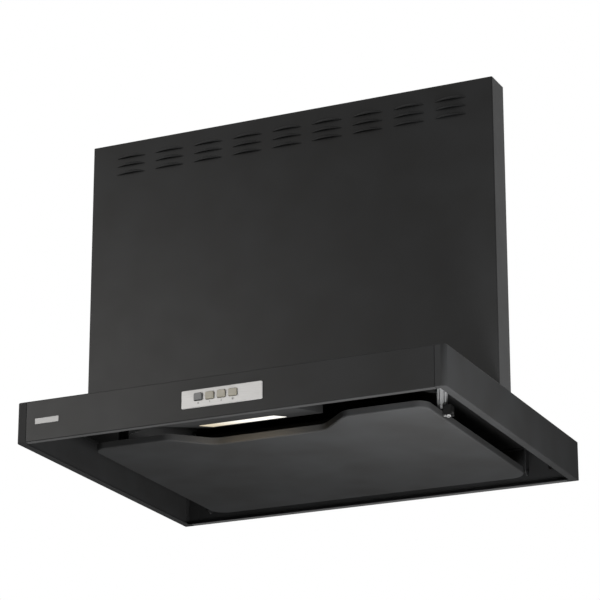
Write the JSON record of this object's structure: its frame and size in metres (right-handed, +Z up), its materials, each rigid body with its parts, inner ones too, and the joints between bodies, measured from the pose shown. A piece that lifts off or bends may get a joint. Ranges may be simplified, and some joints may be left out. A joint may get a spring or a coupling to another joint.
{
  "type": "range hood",
  "caption": "Wall-hung slim range hood with a shallow canopy, hinged flow panel, lamp, push buttons, louvred curtain panel and a sirocco fan box with a duct collar.",
  "frame": {"origin": "middle of the wall screw holes, on the wall face", "axes": "+X to the right seen from the front, +Y into the wall, +Z up"},
  "size_m": [0.75, 0.6057, 0.6],
  "materials": {
    "black_paint": "satin black powder coat, fine texture",
    "black_panel": "smooth satin black enamel",
    "galvanised": "galvanised sheet, soft spangle",
    "fan_steel": "galvanised sheet",
    "bright_steel": "bright plated steel",
    "zinc_screw": "black zinc plated",
    "silver_plate": "brushed silver face",
    "silver_badge": "satin silver, left blank",
    "button_grey": "moulded, fine texture",
    "button_beige": "moulded, fine texture",
    "switch_moulding": "black moulded plastic",
    "circuit_board": "coated board",
    "lamp_lens": "frosted diffuser, lit",
    "lamp_glass": "white diffusing bulb",
    "white_moulding": "white heat-proof moulding",
    "black_moulding": "black moulded plastic",
    "motor_case": "grey enamel",
    "capacitor_case": "white moulded case",
    "grey_moulding": "grey moulded plastic",
    "damper_sheet": "plain sheet"
  },
  "bodies": {
    "hood": {"canopy_top": "black_paint", "side_panel_left": "black_paint", "side_panel_right": "black_paint", "front_panel": "black_paint", "rear_rail": "black_paint", "corner_joiners": "black_paint", "canopy_screws": "zinc_screw", "badge": "silver_badge", "switch_plate": "silver_plate", "switch_box": "switch_moulding", "switch_board": "circuit_board", "lamp_housing": "black_paint", "lamp_cover": "lamp_lens", "lamp_cover_catch": "white_moulding", "lamp_bulb": "lamp_glass", "lamp_socket": "white_moulding", "hinge_bracket_left": "black_paint", "hinge_bracket_right": "black_paint", "catch_bracket_left": "black_paint", "catch_bracket_right": "galvanised", "catch_clip_left": "black_moulding", "catch_clip_right": "black_moulding", "catch_leaves": "bright_steel", "filter_rail_left": "black_paint", "filter_rail_right": "black_paint", "fan_box_back": "galvanised", "fan_box_front": "galvanised", "fan_box_left": "galvanised", "fan_box_right": "galvanised", "fan_box_top": "galvanised", "scroll_wall": "galvanised", "scroll_front_plate": "galvanised", "scroll_back_plate": "galvanised", "bell_mouth": "fan_steel", "motor": "motor_case", "motor_screws": "zinc_screw", "capacitor": "capacitor_case", "duct_collar": "galvanised", "damper_rod": "bright_steel", "terminal_box": "grey_moulding", "cable_gland": "black_moulding", "curtain_panel": "black_paint", "curtain_brackets": "galvanised", "curtain_screws": "zinc_screw"},
    "panel": {"flow_panel": "black_panel", "hinge_pins": "zinc_screw", "catch_studs": "bright_steel"},
    "filter": {"grease_filter": "black_panel", "filter_handle": "black_moulding"},
    "fan": {"fan_disc": "fan_steel", "fan_rings": "fan_steel", "fan_blades": "fan_steel", "motor_shaft": "bright_steel", "fan_knob": "black_moulding"},
    "flap_left": {"damper_flap_left": "damper_sheet"},
    "flap_right": {"damper_flap_right": "damper_sheet"},
    "push_1": {"button_1": "button_grey"},
    "push_2": {"button_2": "button_beige"},
    "push_3": {"button_3": "button_beige"},
    "push_4": {"button_4": "button_beige"}
  },
  "joints": [
    {"name": "panel_hinge", "type": "hinge", "parent": "hood", "child": "panel", "pos_m": [0, -0.048, -0.2995], "axis": [1, 0, 0], "range_deg": [0, 80]},
    {"name": "filter_slide", "type": "slide", "parent": "hood", "child": "filter", "axis": [0, -1, 0], "range_m": [0, 0.045]},
    {"name": "fan_spin", "type": "hinge", "parent": "hood", "child": "fan", "pos_m": [-0.062, -0.087, -0.051], "axis": [0, 1, 0], "continuous": true},
    {"name": "flap_left_hinge", "type": "hinge", "parent": "hood", "child": "flap_left", "pos_m": [0.0745, -0.085, 0.2433], "axis": [0, 1, 0], "range_deg": [0, 80]},
    {"name": "flap_right_hinge", "type": "hinge", "parent": "hood", "child": "flap_right", "pos_m": [0.0745, -0.085, 0.2433], "axis": [0, -1, 0], "range_deg": [0, 80]},
    {"name": "button_1_press", "type": "slide", "parent": "hood", "child": "push_1", "axis": [0, 1, 0], "range_m": [0, 0.0025], "stiffness_N_per_m": 600, "springref_m": -0.001},
    {"name": "button_2_press", "type": "slide", "parent": "hood", "child": "push_2", "axis": [0, 1, 0], "range_m": [0, 0.0025], "stiffness_N_per_m": 600, "springref_m": -0.001},
    {"name": "button_3_press", "type": "slide", "parent": "hood", "child": "push_3", "axis": [0, 1, 0], "range_m": [0, 0.0025], "stiffness_N_per_m": 600, "springref_m": -0.001},
    {"name": "button_4_press", "type": "slide", "parent": "hood", "child": "push_4", "axis": [0, 1, 0], "range_m": [0, 0.0025], "stiffness_N_per_m": 600, "springref_m": -0.001}
  ]
}
